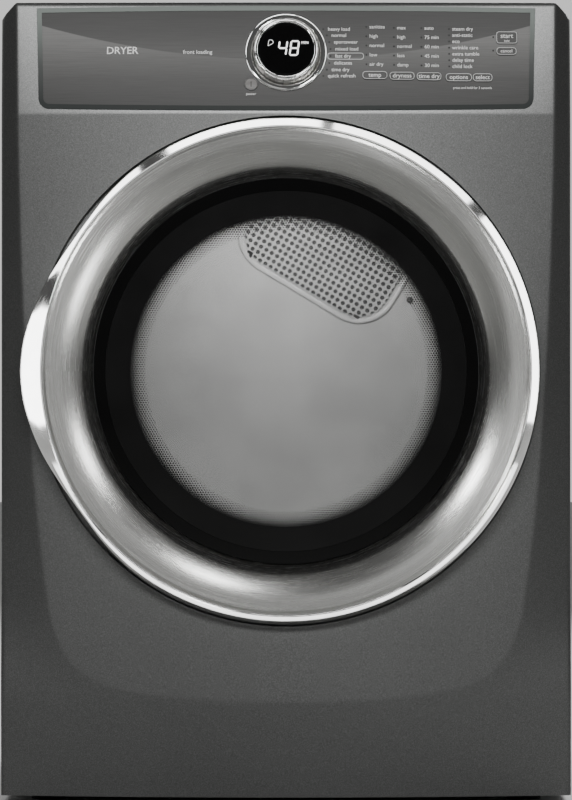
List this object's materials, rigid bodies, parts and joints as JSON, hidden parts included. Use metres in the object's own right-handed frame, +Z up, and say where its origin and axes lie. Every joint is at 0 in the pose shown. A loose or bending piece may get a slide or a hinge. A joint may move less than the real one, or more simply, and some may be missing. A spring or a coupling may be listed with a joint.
{
  "type": "clothes dryer",
  "caption": "Front-loading clothes dryer with a round dished door, side handle lobe, leaning control console with a central dial, drum, belt drive and rear duct outlet.",
  "frame": {"origin": "on the floor, at the middle of the overall width and depth", "axes": "+Z up, the front and its door face -Y, +X to the right seen from the front"},
  "size_m": [0.686, 0.8, 0.965],
  "materials": {
    "cabinet_paint": "metallic dark grey enamel",
    "zinc_steel": "zinc coated sheet",
    "inner_paint": "light grey enamel",
    "console_rim": "satin",
    "console_film": "brushed print",
    "bright_chrome": "polished",
    "knob_metal": "brushed",
    "display_black": "gloss",
    "button_grey": "satin",
    "button_metal": "satin",
    "light_pipe": "clear",
    "circuit_board": "varnished",
    "door_metal": "brushed and lacquered",
    "door_pane": "printed border",
    "bowl_glass": "clear",
    "liner_plastic": "fine texture",
    "seal_rubber": "matte",
    "hinge_steel": "zinc plated",
    "latch_plastic": "matte",
    "drum_steel": "brushed",
    "vane_plastic": "satin",
    "felt": "felt",
    "sensor_steel": "brushed",
    "element_wire": "oxidised",
    "roller_rubber": "matte",
    "belt_rubber": "ribbed",
    "motor_case": "cast",
    "shaft_steel": "turned",
    "duct_plastic": "matte",
    "filter_plastic": "mesh and frame",
    "screw_steel": "zinc plated",
    "terminal_plastic": "matte",
    "foot_rubber": "matte",
    "spring_steel": "bright"
  },
  "bodies": {
    "cabinet": {"left_side_panel": "cabinet_paint", "right_side_panel": "cabinet_paint", "top_panel": "cabinet_paint", "front_panel": "cabinet_paint", "rear_panel": "zinc_steel", "base_pan": "zinc_steel", "cabinet_screws": "screw_steel", "console_bezel": "console_rim", "console_overlay": "console_film", "dial_bezel": "bright_chrome", "display_window": "display_black", "interface_board": "circuit_board", "indicator_lights": "light_pipe", "hinge_bracket": "hinge_steel", "door_latch": "latch_plastic", "front_bulkhead": "inner_paint", "rear_bulkhead": "inner_paint", "drum_seals": "felt", "moisture_sensor_bars": "sensor_steel", "heater_grille": "inner_paint", "heater_housing": "zinc_steel", "heater_coil": "element_wire", "roller_axles": "shaft_steel", "drive_belt": "belt_rubber", "motor_housing": "motor_case", "blower_housing": "duct_plastic", "exhaust_duct": "zinc_steel", "air_duct": "duct_plastic", "idler_spring": "spring_steel", "terminal_block": "terminal_plastic", "terminal_cover": "zinc_steel"},
    "door": {"door_ring": "door_metal", "door_glass": "door_pane", "door_liner": "liner_plastic", "door_bowl": "bowl_glass", "door_seal": "seal_rubber", "door_striker": "hinge_steel", "hinge_leaf": "hinge_steel"},
    "drum": {"drum_shell": "drum_steel", "drum_vanes": "vane_plastic"},
    "left_roller": {"left_drum_roller": "roller_rubber"},
    "right_roller": {"right_drum_roller": "roller_rubber"},
    "rotor": {"motor_shaft": "shaft_steel", "blower_wheel": "duct_plastic"},
    "tension_arm": {"idler_arm": "hinge_steel"},
    "idler": {"idler_wheel": "duct_plastic"},
    "filter": {"lint_filter": "filter_plastic"},
    "dial": {"selector_knob": "knob_metal"},
    "temp_key": {"temp_button": "button_grey"},
    "dryness_key": {"dryness_button": "button_grey"},
    "time_key": {"time_button": "button_grey"},
    "options_key": {"options_button": "button_grey"},
    "select_key": {"select_button": "button_grey"},
    "start_key": {"start_button": "button_grey"},
    "cancel_key": {"cancel_button": "button_grey"},
    "power_key": {"power_button": "button_metal"},
    "front_left_leveller": {"front_left_foot": "foot_rubber"},
    "front_right_leveller": {"front_right_foot": "foot_rubber"},
    "rear_left_leveller": {"rear_left_foot": "foot_rubber"},
    "rear_right_leveller": {"rear_right_foot": "foot_rubber"}
  },
  "joints": [
    {"name": "door_hinge", "type": "hinge", "parent": "cabinet", "child": "door", "pos_m": [0.292, -0.378, 0.521], "axis": [0, 0, 1], "range_deg": [0, 165]},
    {"name": "drum_spin", "type": "hinge", "parent": "cabinet", "child": "drum", "pos_m": [0, 0.02, 0.56], "axis": [0, 1, 0], "continuous": true},
    {"name": "motor_spin", "type": "hinge", "parent": "cabinet", "child": "rotor", "pos_m": [0.15, -0.1, 0.15], "axis": [0, 1, 0], "continuous": true},
    {"name": "left_roller_spin", "type": "hinge", "parent": "cabinet", "child": "left_roller", "pos_m": [-0.22172, 0.258, 0.276], "axis": [0, 1, 0], "continuous": true},
    {"name": "right_roller_spin", "type": "hinge", "parent": "cabinet", "child": "right_roller", "pos_m": [0.22172, 0.258, 0.276], "axis": [0, 1, 0], "continuous": true},
    {"name": "tension_pivot", "type": "hinge", "parent": "cabinet", "child": "tension_arm", "pos_m": [0.12, -0.002, 0.07], "axis": [0, -1, 0], "range_deg": [0, 8], "stiffness_Nm_per_rad": 6, "springref_deg": -11.46, "deforming": ["idler_spring"]},
    {"name": "idler_spin", "type": "hinge", "parent": "tension_arm", "child": "idler", "pos_m": [0.0722, 0.015, 0.1532], "axis": [0, 1, 0], "continuous": true},
    {"name": "filter_slide", "type": "slide", "parent": "cabinet", "child": "filter", "axis": [0, 0, 1], "range_m": [0, 0.2]},
    {"name": "dial_spin", "type": "hinge", "parent": "cabinet", "child": "dial", "pos_m": [0, -0.35607, 0.903], "axis": [0, -0.968, 0.251], "continuous": true},
    {"name": "temp_press", "type": "slide", "parent": "cabinet", "child": "temp_key", "axis": [-0.04, 0.9706, -0.2372], "range_m": [0, 0.001], "stiffness_N_per_m": 400, "springref_m": -0.001},
    {"name": "dryness_press", "type": "slide", "parent": "cabinet", "child": "dryness_key", "axis": [-0.0527, 0.9724, -0.2274], "range_m": [0, 0.001], "stiffness_N_per_m": 400, "springref_m": -0.001},
    {"name": "time_press", "type": "slide", "parent": "cabinet", "child": "time_key", "axis": [-0.0653, 0.9744, -0.215], "range_m": [0, 0.001], "stiffness_N_per_m": 400, "springref_m": -0.001},
    {"name": "options_press", "type": "slide", "parent": "cabinet", "child": "options_key", "axis": [-0.0796, 0.9769, -0.1983], "range_m": [0, 0.001], "stiffness_N_per_m": 400, "springref_m": -0.001},
    {"name": "select_press", "type": "slide", "parent": "cabinet", "child": "select_key", "axis": [-0.0908, 0.979, -0.1824], "range_m": [0, 0.001], "stiffness_N_per_m": 400, "springref_m": -0.001},
    {"name": "start_press", "type": "slide", "parent": "cabinet", "child": "start_key", "axis": [-0.0693, 0.984, -0.1643], "range_m": [0, 0.001], "stiffness_N_per_m": 400, "springref_m": -0.001},
    {"name": "cancel_press", "type": "slide", "parent": "cabinet", "child": "cancel_key", "axis": [-0.0804, 0.9831, -0.1644], "range_m": [0, 0.001], "stiffness_N_per_m": 400, "springref_m": -0.001},
    {"name": "power_press", "type": "slide", "parent": "cabinet", "child": "power_key", "axis": [0.0168, 0.9684, -0.2488], "range_m": [0, 0.001], "stiffness_N_per_m": 400, "springref_m": -0.001},
    {"name": "front_left_screw", "type": "slide", "parent": "cabinet", "child": "front_left_leveller", "axis": [0, 0, 1], "range_m": [-0.025, 0]},
    {"name": "front_right_screw", "type": "slide", "parent": "cabinet", "child": "front_right_leveller", "axis": [0, 0, 1], "range_m": [-0.025, 0]},
    {"name": "rear_left_screw", "type": "slide", "parent": "cabinet", "child": "rear_left_leveller", "axis": [0, 0, 1], "range_m": [-0.025, 0]},
    {"name": "rear_right_screw", "type": "slide", "parent": "cabinet", "child": "rear_right_leveller", "axis": [0, 0, 1], "range_m": [-0.025, 0]}
  ],
  "couplings": [
    {"joint": "motor_spin", "follows": "drum_spin", "ratio": 32.2},
    {"joint": "left_roller_spin", "follows": "drum_spin", "ratio": -8.4737},
    {"joint": "right_roller_spin", "follows": "drum_spin", "ratio": -8.4737},
    {"joint": "idler_spin", "follows": "drum_spin", "ratio": -12.88}
  ]
}
